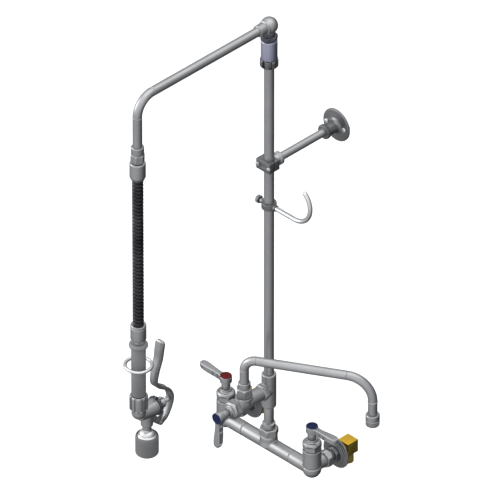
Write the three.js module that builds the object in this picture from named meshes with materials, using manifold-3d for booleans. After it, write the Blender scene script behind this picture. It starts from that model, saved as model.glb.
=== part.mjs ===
// Wall-mounted pre-rinse faucet with an overhead swivel arm, a hanging hose and spray valve,
// an add-on faucet with a swing nozzle, a wall bracket and a finger hook.
// Millimetres, +Z up, +Y towards the wall. The origin is midway between the two supply inlets, at the
// height of the mixing body's cross tube, on the backsplash face that the inlet flanges press against.
import * as THREE from "three";
import { mergeVertices } from "three/addons/utils/BufferGeometryUtils.js";
import Module from "manifold-3d";

const wasm = await Module();
wasm.setup();

// ---------------------------------------------------------------- driving dimensions
const GAP = 0.3; // running or seating gap between neighbouring pieces
const INLET_X = 203.2 / 2; // half of the 8 inch inlet spacing
const RISER_Y = -58; // riser axis, in front of the backsplash
const RISER_R = 17.1 / 2; // 3/8 inch pipe
const PIPE_WALL = 2.3;
const TUBE_R = 15.9 / 2; // 5/8 inch spout tube
const TUBE_WALL = 1.2;
const FINE = 14; // facets on large round parts
const COARSE = 8; // facets on bores and small round parts
const TINY = 6; // facets on screws and small holes

const BODY = { tubeR: 12, valveR: 16, boreR: 11, valveTop: 40, floor: 4, neckR: 12 };
const STEM = { bonnetH: 22, hubBottom: 35, hubTop: 47, hubR: 10.4 };
const LEVER_REACH = 58; // stem axis to the end of a faucet handle
const TEE = { z: 112.5, bottom: 77, top: 144, r: 12.5, barrelEnd: 76, nozzleY: -58 };
const NOZZLE = { z: 201.6, reach: 221, angle: 30, firstBend: 21, lastBend: 44, end: 131 };
const TOP = { nutBottom: 768, bodyBottom: 783, bodyTop: 820, nutTop: 831, ballZ: 847.6, ballR: 14.8 };
const ARM = { reach: 304.8, bend: 34, bottom: 756 };
const ARM_Y = RISER_Y - ARM.reach; // axis of the hose, grip and drop tube
const HOSE = { r: 9.5, top: 688.7, bottom: 398.3 };
const GRIP = { bottom: 256.3, top: 361.5, r: 12.35, beadR: 16 };
const VALVE = { z: 213, inletZ: 219, r: 12.3, ringY: 38, capY: 60, outletY: 18.8 };
const HEAD = { bottom: 127, top: 176, r: 19.7 };
const PIVOT = { y: 48, z: 176.5 }; // squeeze lever pin, from the grip axis
const RING = { z: 315.4, r: 22.4, wireR: 2.8 };
const BRACKET = { z: 570.5, halfH: 9.5, halfX: 15.5, wallY: 102, flangeR: 30, pipeR: 13.7 / 2 };
const HOOK = { z: 487.2, ringR: 12.8, halfH: 5.5, rodR: 4, reach: 59.5, curl: 36.3, turn: 138 };
const SUPPLY = { z: 4, flangeR: 29, shankR: 10, elbow: 24.5, elbowAt: 27.5, stub: 32 };

// ---------------------------------------------------------------- materials
function metal(color, roughness, metalness = 1) {
  return new THREE.MeshStandardMaterial({ color, roughness, metalness });
}
const chrome = metal(0xa9aaac, 0.3);
const steel = metal(0x8b8d90, 0.38);
const brass = metal(0xb28a1e, 0.35);
const swivelMetal = metal(0x8c8ea6, 0.4);
const greyRubber = metal(0x7d7f80, 0.6, 0);
const darkHose = metal(0x2b2b2d, 0.45);
const redPlastic = metal(0x8c0f12, 0.4, 0);
const bluePlastic = metal(0x10224f, 0.4, 0);

// ---------------------------------------------------------------- solids
const assembly = new THREE.Group();

/** A closed three.js geometry as a manifold solid, facing outwards whichever way it was wound. */
function solid(geometry) {
  const soup = geometry.index ? geometry.toNonIndexed() : geometry.clone();
  const bare = new THREE.BufferGeometry().setAttribute("position", soup.getAttribute("position"));
  const merged = mergeVertices(bare, 1e-4);
  const vertProperties = merged.attributes.position.array;
  const triVerts = new Uint32Array(merged.index.array);
  const made = new wasm.Manifold(new wasm.Mesh({ numProp: 3, vertProperties, triVerts }));
  if (made.volume() > 0) return made;
  for (let i = 0; i < triVerts.length; i += 3) {
    [triVerts[i + 1], triVerts[i + 2]] = [triVerts[i + 2], triVerts[i + 1]];
  }
  return new wasm.Manifold(new wasm.Mesh({ numProp: 3, vertProperties, triVerts }));
}

/** The manifold solid as a three.js geometry. */
function geometryOf(manifold) {
  const mesh = manifold.getMesh();
  const geometry = new THREE.BufferGeometry();
  geometry.setAttribute("position", new THREE.BufferAttribute(new Float32Array(mesh.vertProperties), 3));
  geometry.setIndex(new THREE.BufferAttribute(new Uint32Array(mesh.triVerts), 1));
  geometry.computeVertexNormals();
  return geometry;
}

const union = (...pieces) => pieces.reduce((a, b) => a.add(b));
const cut = (piece, ...tools) => tools.reduce((a, b) => a.subtract(b), piece);

/** A named mesh in a group. */
function place(name, manifold, material, group = assembly) {
  const mesh = new THREE.Mesh(geometryOf(manifold), material);
  mesh.name = name;
  group.add(mesh);
  return mesh;
}

/** A group at a point, turned so that its own X, Y and Z run along the given directions. */
function frameAt(position, x = [1, 0, 0], y = [0, 1, 0], z = [0, 0, 1]) {
  const group = new THREE.Group();
  const basis = [x, y, z].map((v) => new THREE.Vector3(...v));
  group.quaternion.setFromRotationMatrix(new THREE.Matrix4().makeBasis(...basis));
  group.position.set(...position);
  assembly.add(group);
  return group;
}

/** A profile of [radius, height] points turned about Z. */
function revolve(profile, facets = FINE) {
  const points = profile.map(([r, z]) => new THREE.Vector2(r, z));
  return solid(new THREE.LatheGeometry(points, facets).rotateX(Math.PI / 2));
}

const disc = (r, z0, z1, facets = FINE) => revolve([[0, z0], [r, z0], [r, z1], [0, z1]], facets);

/** A drill about Z, whose flats stand at the stated radius, so that a round of that radius fits. */
const hole = (r, z0, z1, facets = COARSE) => disc(r / Math.cos(Math.PI / facets), z0, z1, facets);

/** A plain tube about Z. */
function sleeve(r, boreR, z0, z1, facets = FINE) {
  return revolve([[boreR, z0], [r, z0], [r, z1], [boreR, z1], [boreR, z0]], facets);
}

/** A disc from y0 to y1 about an axis along Y. */
function discAlongY(r, y0, y1, z = 0, facets = FINE) {
  return disc(r, 0, y1 - y0, facets).rotate([-90, 0, 0]).translate([0, y0, z]);
}

/** A drill from y0 to y1 about an axis along Y. */
const holeAlongY = (r, y0, y1, z = 0, facets = COARSE) =>
  discAlongY(r / Math.cos(Math.PI / facets), y0, y1, z, facets);

/** A disc from x0 to x1 about an axis along X. */
function discAlongX(r, x0, x1, facets = FINE) {
  return disc(r, 0, x1 - x0, facets).rotate([0, 90, 0]).translate([x0, 0, 0]);
}

/** A drill from x0 to x1 about an axis along X. */
const holeAlongX = (r, x0, x1, facets = COARSE) => discAlongX(r / Math.cos(Math.PI / facets), x0, x1, facets);

function block(low, high) {
  const size = high.map((v, i) => v - low[i]);
  const centre = high.map((v, i) => (v + low[i]) / 2);
  return solid(new THREE.BoxGeometry(...size)).translate(centre);
}

/** A six-sided nut about Z, its edges rounded off by a turned profile as cast nuts are. */
function hexNut(acrossFlats, z0, z1, boreR, crown = 0.25, turn = 0) {
  const outer = acrossFlats / 2 / Math.cos(Math.PI / 6);
  const hex = solid(new THREE.CylinderGeometry(outer, outer, z1 - z0, 6).rotateX(Math.PI / 2));
  const shoulder = (z1 - z0) * crown;
  const shaped = revolve([
    [0, z0], [outer * 0.93, z0], [outer * 1.01, z0 + shoulder * 0.5], [outer * 1.01, z1 - shoulder],
    [outer * 0.86, z1], [0, z1],
  ]);
  const nut = hex.rotate([0, 0, turn]).translate([0, 0, (z0 + z1) / 2]).intersect(shaped);
  return boreR > 0 ? nut.subtract(hole(boreR, z0 - 1, z1 + 1)) : nut;
}

/** A round bar or tube along a curve. */
function sweep(curve, r, steps, sides, boreR = 0) {
  const circle = (radius) =>
    Array.from({ length: sides }, (_, i) => {
      const angle = (i * 2 * Math.PI) / sides;
      return new THREE.Vector2(radius * Math.cos(angle), radius * Math.sin(angle));
    });
  const section = new THREE.Shape(circle(r));
  if (boreR > 0) section.holes.push(new THREE.Path(circle(boreR).reverse()));
  return solid(new THREE.ExtrudeGeometry(section, { steps, extrudePath: curve, bevelEnabled: false }));
}

/** A quarter bend from one point to another, round the corner between them. */
function quarterBend(from, corner, to) {
  const [a, c, b] = [from, corner, to].map((p) => new THREE.Vector3(...p));
  const centre = a.clone().add(b).sub(c);
  const bend = new THREE.Curve();
  bend.getPoint = (t, target = new THREE.Vector3()) => {
    const angle = (t * Math.PI) / 2;
    return target.copy(centre)
      .addScaledVector(a.clone().sub(centre), Math.cos(angle))
      .addScaledVector(b.clone().sub(centre), Math.sin(angle));
  };
  return bend;
}

/** Joins straight lines and bends into one evenly stepped route. */
class Route extends THREE.Curve {
  constructor(stations) {
    super();
    this.stations = stations;
  }
  getPoint(t, target = new THREE.Vector3()) {
    const last = this.stations.length - 1;
    const along = Math.min(t * last, last - 1e-9);
    const index = Math.floor(along);
    return target.lerpVectors(this.stations[index], this.stations[index + 1], along - index);
  }
  getPointAt(t, target) {
    return this.getPoint(t, target);
  }
}

/** A swept tube whose rings stand exactly at the ends of each straight and at even steps of each bend. */
function bentTube(points, bends, r, boreR, sides, bendSteps = 5) {
  const corners = points.map((p) => new THREE.Vector3(...p));
  const stations = [corners[0]];
  for (let i = 1; i < corners.length - 1; i += 1) {
    const back = corners[i - 1].clone().sub(corners[i]).normalize().multiplyScalar(bends[i - 1]);
    const ahead = corners[i + 1].clone().sub(corners[i]).normalize().multiplyScalar(bends[i - 1]);
    const from = corners[i].clone().add(back);
    const to = corners[i].clone().add(ahead);
    const bend = quarterBend(from.toArray(), corners[i].toArray(), to.toArray());
    for (let k = 0; k <= bendSteps; k += 1) stations.push(bend.getPoint(k / bendSteps));
  }
  stations.push(corners.at(-1));
  return sweep(new Route(stations), r, stations.length - 1, sides, boreR);
}

// ---------------------------------------------------------------- base faucet
/** The cast mixing body: cross tube, two valve chambers, two inlet necks and the riser boss. */
function mixingBody() {
  const cross = discAlongX(BODY.tubeR, -INLET_X, INLET_X);
  const pieces = [cross];
  for (const side of [-1, 1]) {
    const chamber = revolve([
      [0, -BODY.valveR], [5.5, -15], [10.4, -12.2], [14, -7.7], [15.7, -2.8], [BODY.valveR, 0],
      [BODY.valveR, 5.2], [15.3, 6.2], [BODY.valveR, 7.2], [BODY.valveR, BODY.valveTop], [0, BODY.valveTop],
    ]);
    const x = side * INLET_X;
    const shoulder = revolve([[0, 0], [13.6, 0], [13.6, 43], [12.6, 46], [0, 46]])
      .rotate([0, -90 * side, 0]).translate([x, 0, 0]);
    const neck = discAlongY(BODY.neckR, 0, 30, SUPPLY.z).translate([x, 0, 0]);
    const collar = discAlongY(13, 28.6, 33, SUPPLY.z).translate([x, 0, 0]);
    pieces.push(chamber.translate([x, 0, 0]), shoulder, neck, collar);
  }
  const boss = revolve([[0, 0], [15, 3], [15, 16], [13.6, 19.7], [0, 19.7]]);
  const hollow = [holeAlongX(8, -INLET_X, INLET_X), hole(6.2, 0, 22)];
  for (const side of [-1, 1]) {
    hollow.push(hole(BODY.boreR, BODY.floor, BODY.valveTop + 1).translate([side * INLET_X, 0, 0]));
    hollow.push(holeAlongY(8, 0, 34, SUPPLY.z).translate([side * INLET_X, 0, 0]));
  }
  return cut(union(boss, ...pieces), ...hollow).translate([0, RISER_Y, 0]);
}

/** Bonnet, valve spindle, lever handle and index button, on an axis that runs up from a chamber's rim. */
function stemSet(name, indexMaterial, group) {
  const bonnet = hexNut(30, GAP, STEM.bonnetH, 0, 0.45, 30);
  place(`${name}_bonnet`, cut(bonnet, hole(6.4, -1, STEM.bonnetH + 1), hole(11, -1, 11.6)), chrome, group);

  const spindle = revolve([
    [0, -34], [6, -34], [6, -31], [10.6, -31], [10.6, 10.6], [6, 11], [6, STEM.bonnetH + 4],
    [7.6, STEM.bonnetH + 6], [7.6, STEM.hubBottom - GAP], [4, STEM.hubBottom - GAP], [4, STEM.hubTop - 9],
    [0, STEM.hubTop - 9],
  ], COARSE);
  place(`${name}_spindle`, spindle, brass, group);

  place(`${name}_handle`, leverHandle(), chrome, group);
  place(`${name}_index`, indexButton(), indexMaterial, group);
}

/** A lever handle: turned hub, and a paddle along +X that thins and rises a little towards its round end. */
function leverHandle() {
  const { hubBottom, hubTop, hubR } = STEM;
  const hub = revolve([
    [0, hubBottom], [hubR - 1, hubBottom], [hubR, hubBottom + 1], [hubR, hubTop - 0.8], [hubR - 0.8, hubTop],
    [0, hubTop],
  ]);
  const outline = new THREE.Shape();
  const [rootHalf, waistHalf, endHalf] = [7.4, 5.6, 7.6];
  outline.moveTo(3, -rootHalf);
  outline.quadraticCurveTo(16, -waistHalf, 24, -waistHalf - 0.6);
  outline.quadraticCurveTo(38, -endHalf, LEVER_REACH - 12, -endHalf);
  outline.quadraticCurveTo(LEVER_REACH, -endHalf, LEVER_REACH, 0);
  outline.quadraticCurveTo(LEVER_REACH, endHalf, LEVER_REACH - 12, endHalf);
  outline.quadraticCurveTo(38, endHalf, 24, waistHalf + 0.6);
  outline.quadraticCurveTo(16, waistHalf, 3, rootHalf);
  const bevel = { bevelThickness: 1.6, bevelSize: 1.6, bevelOffset: -1.6, bevelSegments: 1 };
  const slab = solid(new THREE.ExtrudeGeometry(outline, { depth: 16, curveSegments: 4, ...bevel }));
  const underside = block([-5, -20, -20], [80, 20, 0]).rotate([0, -5, 0]).translate([0, 0, hubBottom + 1.4]);
  const top = block([0, -20, 0], [80, 20, 20]).rotate([0, -1.6, 0]).translate([0, 0, hubTop - 0.9]);
  const paddle = cut(slab.translate([0, 0, hubBottom]), underside, top);
  const socket = hole(4 + GAP, hubBottom - 1, hubTop - 9 + GAP);
  const recess = disc(9.3, hubTop - 2, hubTop + 2);
  const screwWell = hole(2.6, hubTop - 9, hubTop, TINY);
  return cut(union(hub, paddle), socket, recess, screwWell);
}

function indexButton() {
  const { hubTop } = STEM;
  return revolve([[0, hubTop - 2 + GAP], [8.9, hubTop - 2 + GAP], [8.9, hubTop + 0.2], [7.8, hubTop + 0.8], [0, hubTop + 1]]);
}

/** Coupling nut, flanged adapter, lock nut and elbow of one supply inlet, built about an axis along +Y. */
function supply(name, x) {
  const group = frameAt([x, 0, SUPPLY.z], [-1, 0, 0], [0, 0, 1], [0, 1, 0]);
  const nut = hexNut(28.7, RISER_Y + 25.6, RISER_Y + 37.5, BODY.neckR + GAP, 0.3, 30);
  place(`${name}_coupling_nut`, cut(nut, hole(13 + GAP, RISER_Y + 28.3, RISER_Y + 40)), chrome, group);

  const { flangeR, shankR, elbow, elbowAt, stub } = SUPPLY;
  const barrel = disc(11, RISER_Y + 33 + GAP, -13);
  const hex = hexNut(25, -14, -5, 0, 0.2, 30);
  const flange = revolve([[0, -6], [16, -6], [flangeR - 1, -3], [flangeR, -2], [flangeR, 0], [0, 0]]);
  const shank = disc(shankR, -1, elbowAt - 10);
  const way = hole(6, RISER_Y + 30, elbowAt, TINY);
  place(`${name}_flange_adapter`, cut(union(barrel, hex, flange, shank), way), chrome, group);

  place(`${name}_lock_nut`, hexNut(27, 5, 12, shankR + GAP, 0.3, 30), brass, group);

  const half = elbow / 2;
  const cube = block([-half, -half, elbowAt - half], [half, half, elbowAt + half]);
  const down = disc(9.8, 0, stub).rotate([90, 0, 0]).translate([0, 0, elbowAt]);
  const inlet = hole(shankR + GAP, elbowAt - half - 1, elbowAt - 10 + GAP);
  const passage = union(
    hole(6, elbowAt - half - 1, elbowAt + 5, TINY),
    hole(7, 0, stub + 1, TINY).rotate([90, 0, 0]).translate([0, 0, elbowAt]),
  );
  place(`${name}_elbow`, cut(union(cube, down), inlet, passage), brass, group);
}

// ---------------------------------------------------------------- riser, tee and add-on faucet
/** Nut, nipple and collar between the mixing body and the tee. */
function riserFoot() {
  const group = frameAt([0, RISER_Y, 0]);
  place("riser_nut", hexNut(29.4, 20, 33.4, RISER_R + GAP, 0.25, 0), chrome, group);
  const nipple = revolve([
    [6.2, 20], [RISER_R, 20], [RISER_R, 33.7], [11.2, 33.7], [11.2, 43.2], [RISER_R, 44],
    [RISER_R, TEE.bottom + 8], [6.2, TEE.bottom + 8], [6.2, 20],
  ], FINE);
  place("riser_nipple", nipple, chrome, group);
}

/** The add-on faucet's body: a tee on the riser, with a barrel that runs forward to its valve. */
function teeBody() {
  const sleeveBody = revolve([
    [0, TEE.bottom], [TEE.r - 1.6, TEE.bottom], [TEE.r, TEE.bottom + 2], [TEE.r, TEE.top - 1.5], [TEE.r - 1, TEE.top],
    [0, TEE.top],
  ]);
  const saddle = discAlongY(14.2, -20, -6, TEE.z);
  const barrel = discAlongY(TEE.r, -TEE.barrelEnd + 18, 0, TEE.z);
  const chamber = revolve([[0, 0], [14.5, 0], [14.5, 16], [12.5, 20], [0, 20]])
    .rotate([-90, 0, 0]).translate([0, -TEE.barrelEnd, TEE.z]);
  const spoutBoss = revolve([
    [0, 0], [12, 0], [12, 8], [15, 10], [15, 14.5], [0, 14.5],
  ]).translate([0, TEE.nozzleY, TEE.z]);
  const way = [
    hole(6, TEE.bottom - 1, TEE.top + 1, TINY),
    hole(RISER_R + GAP, TEE.bottom - 1, TEE.bottom + 8 + GAP),
    hole(RISER_R + GAP, TEE.top - 11 - GAP, TEE.top + 1),
    holeAlongY(6, -TEE.barrelEnd + 30, 0, TEE.z, TINY),
    holeAlongY(BODY.boreR, -TEE.barrelEnd - 1, -TEE.barrelEnd + 36, TEE.z),
    hole(TUBE_R + GAP, TEE.z + 11.3, TEE.z + 28).translate([0, TEE.nozzleY, 0]),
    hole(5.5, TEE.z, TEE.z + 13, TINY).translate([0, TEE.nozzleY, 0]),
  ];
  const body = union(sleeveBody, saddle, barrel, chamber, spoutBoss);
  return cut(body, ...way).translate([0, RISER_Y, 0]);
}

/** Swing nozzle, its packing nut and the outlet with its stream former. */
function swingNozzle() {
  const y = RISER_Y + TEE.nozzleY;
  const nutBottom = TEE.z + 14.5 + GAP;
  const collar = sleeve(10.6, TUBE_R + 0.9, nutBottom + 15, nutBottom + 28);
  const nut = cut(union(hexNut(25.4, nutBottom, nutBottom + 17, 0, 0.25, 15), collar),
    hole(TUBE_R + GAP, nutBottom - 1, nutBottom + 29));
  place("nozzle_nut", nut.translate([0, y, 0]), chrome);

  const turn = THREE.MathUtils.degToRad(NOZZLE.angle);
  const [dx, dy] = [Math.cos(turn), Math.sin(turn)];
  const end = [dx * NOZZLE.reach, y + dy * NOZZLE.reach];
  const tube = bentTube(
    [[0, y, TEE.z + 11.6], [0, y, NOZZLE.z], [...end, NOZZLE.z], [...end, NOZZLE.end - 6]],
    [NOZZLE.firstBend, NOZZLE.lastBend], TUBE_R, TUBE_R - TUBE_WALL, COARSE,
  );
  place("nozzle_tube", tube, chrome);

  const outlet = NOZZLE.end;
  const housing = revolve([
    [0, outlet - 22], [10.8, outlet - 22], [11.9, outlet - 20.5], [11.9, outlet - 1.6], [10.6, outlet], [0, outlet],
  ]);
  const grooves = sleeve(14, 11.1, outlet - 12, outlet - 9.6);
  const inside = [hole(TUBE_R + GAP, outlet - 6.6, outlet + 1), hole(8.5, outlet - 23, outlet - 6)];
  place("outlet_housing", cut(housing, grooves, ...inside).translate([...end, 0]), chrome);

  const former = revolve([
    [0, outlet - 25], [6.4, outlet - 25], [8.2, outlet - 22.5], [8.2, outlet - 13], [0, outlet - 13],
  ], COARSE);
  const holes = [0, 1, 2].map((i) => {
    const angle = (i * 2 * Math.PI) / 3;
    return disc(1.3, outlet - 26, outlet - 12, TINY).translate([4 * Math.cos(angle), 4 * Math.sin(angle), 0]);
  });
  place("stream_former", cut(former, ...holes).translate([...end, 0]), steel);
}

function riserPipe() {
  const pipe = sleeve(RISER_R, RISER_R - PIPE_WALL, TEE.top - 11, TOP.bodyBottom + 6);
  place("riser_pipe", pipe.translate([0, RISER_Y, 0]), chrome);
}

// ---------------------------------------------------------------- wall bracket and finger hook
/** Split clamp on the riser, two clamp screws, pipe and wall flange. */
function wallBracket() {
  const { z, halfH, halfX, wallY, flangeR, pipeR } = BRACKET;
  const group = frameAt([0, RISER_Y, z]);
  const wall = wallY - RISER_Y;
  const riserHole = hole(RISER_R + GAP, -20, 20);
  const screwX = 12.6;
  const screwHoles = [-1, 1].map((side) => holeAlongY(2.4, -30, 30, 0, TINY).translate([side * screwX, 0, 0]));

  const front = block([-halfX - 1.4, -13.5, -halfH], [halfX - 1.4, -0.6, halfH]);
  const frontCut = cut(front, riserHole, ...screwHoles, block([-6, -20, -3.4], [6, -12.3, 3.4]));
  place("clamp_front", frontCut, chrome, group);

  const rear = union(block([-halfX - 1.4, 0.6, -halfH], [halfX - 1.4, 9, halfH]), discAlongY(10.5, 8, 26));
  const collar = discAlongY(11.6, 20, 25.4);
  const rearCut = cut(union(rear, collar), riserHole, ...screwHoles, holeAlongY(pipeR + GAP, 12, 30));
  place("clamp_rear", rearCut, chrome, group);

  for (const [name, side] of [["clamp_screw_left", -1], ["clamp_screw_right", 1]]) {
    const shank = discAlongY(2.1, -14, 12.6, 0, TINY);
    const head = revolve([[0, 0], [4, 0], [4.3, 0.8], [3.4, 3.2], [0, 3.8]], COARSE)
      .rotate([90, 0, 0]).translate([0, -13.8, 0]);
    const slot = block([-5, -18, -0.6], [5, -16.2, 0.6]);
    place(name, cut(union(shank, head), slot).translate([side * screwX, 0, 0]), steel, group);
  }

  const pipe = sleeve(pipeR, pipeR - 2, 12.5, wall - 12).rotate([-90, 0, 0]);
  place("bracket_pipe", pipe, chrome, group);

  const flange = revolve([
    [0, 0], [flangeR, 0], [flangeR, 2.2], [flangeR - 1.4, 3.6], [14, 4.6], [11.4, 6.5], [10.6, 8.5], [10.6, 27],
    [12.4, 27.6], [12.4, 32.4], [11.6, 33], [0, 33],
  ]).rotate([90, 0, 0]).translate([0, wall, 0]);
  const holes = [-1, 1].map((side) => holeAlongY(2.6, wall - 8, wall + 1, 0, TINY).translate([side * 20, 0, 0]));
  const pipeHole = holeAlongY(pipeR + GAP, wall - 34, wall - 12 + GAP);
  place("wall_flange", cut(flange, pipeHole, ...holes), chrome, group);

  for (const [name, side] of [["wall_screw_left", -1], ["wall_screw_right", 1]]) {
    const head = revolve([[0, 0], [4.6, 0], [4.6, 0.8], [3, 2.4], [0, 2.9]], COARSE)
      .rotate([90, 0, 0]).translate([side * 20, wall - 4.8, 0]);
    const shank = discAlongY(2.2, wall - 5, wall + 16, 0, TINY).translate([side * 20, 0, 0]);
    const cross = block([side * 20 - 0.5, wall - 9, -3], [side * 20 + 0.5, wall - 6.6, 3]);
    place(name, cut(union(head, shank), cross), steel, group);
  }
}

/** Clamp ring, hook rod and thumb screw on the riser. */
function fingerHook() {
  const group = frameAt([0, RISER_Y, HOOK.z]);
  const { ringR, halfH, rodR, reach, curl, turn } = HOOK;
  const ring = revolve([
    [0, -halfH], [ringR - 0.8, -halfH], [ringR, -halfH + 0.8], [ringR, halfH - 0.8],
    [ringR - 0.8, halfH], [0, halfH],
  ]);
  const screwBoss = discAlongX(5, -18, -11, COARSE);
  const rodBoss = discAlongX(5.5, 10, 17, COARSE);
  const bored = cut(union(ring, screwBoss, rodBoss), hole(RISER_R + GAP, -10, 10),
    holeAlongX(2.3, -20, -6, TINY), holeAlongX(rodR + GAP, 13.2 - GAP, 20, TINY));
  place("hook_ring", bored, chrome, group);

  const stations = [new THREE.Vector3(13.2, 0, 0)];
  for (let k = 0; k <= 12; k += 1) {
    const angle = THREE.MathUtils.degToRad((k / 12) * turn);
    stations.push(new THREE.Vector3(reach + curl * Math.sin(angle), 0, curl - curl * Math.cos(angle)));
  }
  const rod = sweep(new Route(stations), rodR, stations.length - 1, COARSE);
  const tip = solid(new THREE.SphereGeometry(rodR, COARSE, 6)).translate(stations.at(-1).toArray());
  place("hook_rod", union(rod, tip), steel, group);

  const knob = revolve([[0, -27], [6, -27], [7, -26], [7, -21.6], [6, -20.6], [3.2, -20.4], [3.2, -18.4], [0, -18.4]], COARSE);
  const flutes = [0, 1, 2, 3, 4, 5].map((i) =>
    disc(1.6, -28, -20.5, 6).translate([7.4, 0, 0]).rotate([0, 0, i * 60]));
  const shank = disc(1.9, -19, -RISER_R - GAP, TINY);
  place("thumb_screw", union(cut(knob, ...flutes), shank).rotate([0, 90, 0]), steel, group);
}

// ---------------------------------------------------------------- overhead swivel and arm
function overheadSwivel() {
  const group = frameAt([0, RISER_Y, 0]);
  const { nutBottom, bodyBottom, bodyTop, nutTop, ballZ, ballR } = TOP;
  const lowerNut = hexNut(28, nutBottom, bodyBottom - GAP, RISER_R + GAP, 0.25, 0);
  place("swivel_lower_nut", lowerNut, chrome, group);

  const housing = revolve([
    [0, bodyBottom], [13.8, bodyBottom], [13.8, bodyTop - 1.4], [12.6, bodyTop], [0, bodyTop],
  ]);
  const housingBores = [hole(RISER_R + GAP, bodyBottom - 1, bodyBottom + 6 + GAP), hole(5, bodyBottom, bodyTop + 1, TINY),
    hole(10.2, bodyBottom + 10, bodyTop + 1)];
  place("swivel_housing", cut(housing, ...housingBores), swivelMetal, group);

  const topNut = union(hexNut(24.5, bodyTop + GAP, nutTop - 2, 0, 0.3, 30), sleeve(9.9, 6, bodyTop - 6, bodyTop + 2));
  place("swivel_top_nut", cut(topNut, hole(7.3, bodyTop - 7, nutTop)), swivelMetal, group);

  const ball = solid(new THREE.SphereGeometry(ballR, FINE, 8).rotateX(Math.PI / 2)).translate([0, 0, ballZ]);
  const spigot = revolve([
    [0, bodyBottom + 16], [9.4, bodyBottom + 16], [9.4, bodyTop - 7], [7, bodyTop - 6.6], [7, nutTop - 1.6],
    [10, nutTop - 1], [11, ballZ - 8], [0, ballZ - 8],
  ]);
  const socket = revolve([[0, 8], [12.2, 8], [12.2, 11.4], [9.9, 13], [9.9, 26], [9.2, 27], [0, 27]])
    .rotate([90, 0, 0]).translate([0, 0, ballZ]);
  const passages = [hole(4.2, bodyBottom, ballZ, TINY), holeAlongY(4.2, -28, 0, ballZ, TINY),
    holeAlongY(TUBE_R + GAP, -28, -15, ballZ)];
  place("ball_elbow", cut(union(ball, spigot, socket), ...passages), chrome, group);

  const arm = bentTube(
    [[0, RISER_Y - 15.3, ballZ], [0, ARM_Y, ballZ], [0, ARM_Y, ARM.bottom - 9]], [ARM.bend],
    TUBE_R, TUBE_R - TUBE_WALL, COARSE,
  );
  place("arm_tube", arm, chrome);
}

// ---------------------------------------------------------------- hose
function hoseSet() {
  const group = frameAt([0, ARM_Y, 0]);
  const adapterTop = ARM.bottom - 0.6;
  const adapter = union(
    revolve([[0, 741], [10.2, 741], [10.9, 742], [10.9, adapterTop - 1], [10, adapterTop], [0, adapterTop]]),
    hexNut(21.2, 725, 741.5, 0, 0.18, 0),
  );
  place("hose_adapter", cut(adapter, hole(TUBE_R + GAP, ARM.bottom - 9.3, 760), hole(4.6, 720, 760, TINY)), chrome, group);

  const upper = revolve([
    [0, 689], [10.2, 689], [13.4, 695.5], [13.4, 722.6], [12.2, 724.6], [0, 724.6],
  ]);
  place("hose_upper_ferrule", cut(upper, hole(4.6, 680, 730, TINY)), chrome, group);

  place("hose", disc(HOSE.r, HOSE.bottom, HOSE.top, 12), darkHose, group);

  const lower = revolve([
    [0, 362.3], [9.6, 362.3], [9.6, 368], [11.6, 368], [13, 370], [13, 393.4], [12.5, 394], [13.4, 394.8],
    [13.4, 397.2], [12.6, 398], [0, 398],
  ]);
  place("hose_lower_ferrule", cut(lower, hole(4.6, 360, 400, TINY)), chrome, group);
}

// ---------------------------------------------------------------- spray valve
function sprayValve() {
  const group = frameAt([0, ARM_Y, 0]);
  const grip = revolve([
    [7, GRIP.bottom], [GRIP.r, GRIP.bottom], [GRIP.r, 350], [14.6, 352.4], [GRIP.beadR, 355.4], [14.8, 359],
    [12.6, GRIP.top - GAP], [7, GRIP.top - GAP], [7, GRIP.bottom],
  ]);
  place("grip", grip, greyRubber, group);

  const ring = solid(new THREE.TorusGeometry(RING.r, RING.wireR, 6, 20)).translate([0, 0, RING.z]);
  place("hold_ring", ring, steel, group);

  const nut = revolve([[0, 226.6], [13.2, 226.6], [13.6, 228], [13.6, 254], [12.8, 256], [0, 256]]);
  const ribs = Array.from({ length: 8 }, (_, i) =>
    block([11, -3, 228.6], [15.7, 3, 253]).rotate([0, 0, i * 45 + 22.5]));
  place("coupling_nut", cut(union(nut, ...ribs), hole(6.6, 220, 260, TINY), hole(12.3, 220, 243 + GAP)), chrome, group);

  place("valve_body", valveBody(), chrome, group);
  bonnetAndPlunger(group);
  place("squeeze_lever", squeezeLever(), chrome, group);
  const pin = discAlongX(1.9, -6.6, 6.6, TINY).translate([0, PIVOT.y, PIVOT.z]);
  place("lever_pin", pin, steel, group);
  sprayHead();
}

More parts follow.
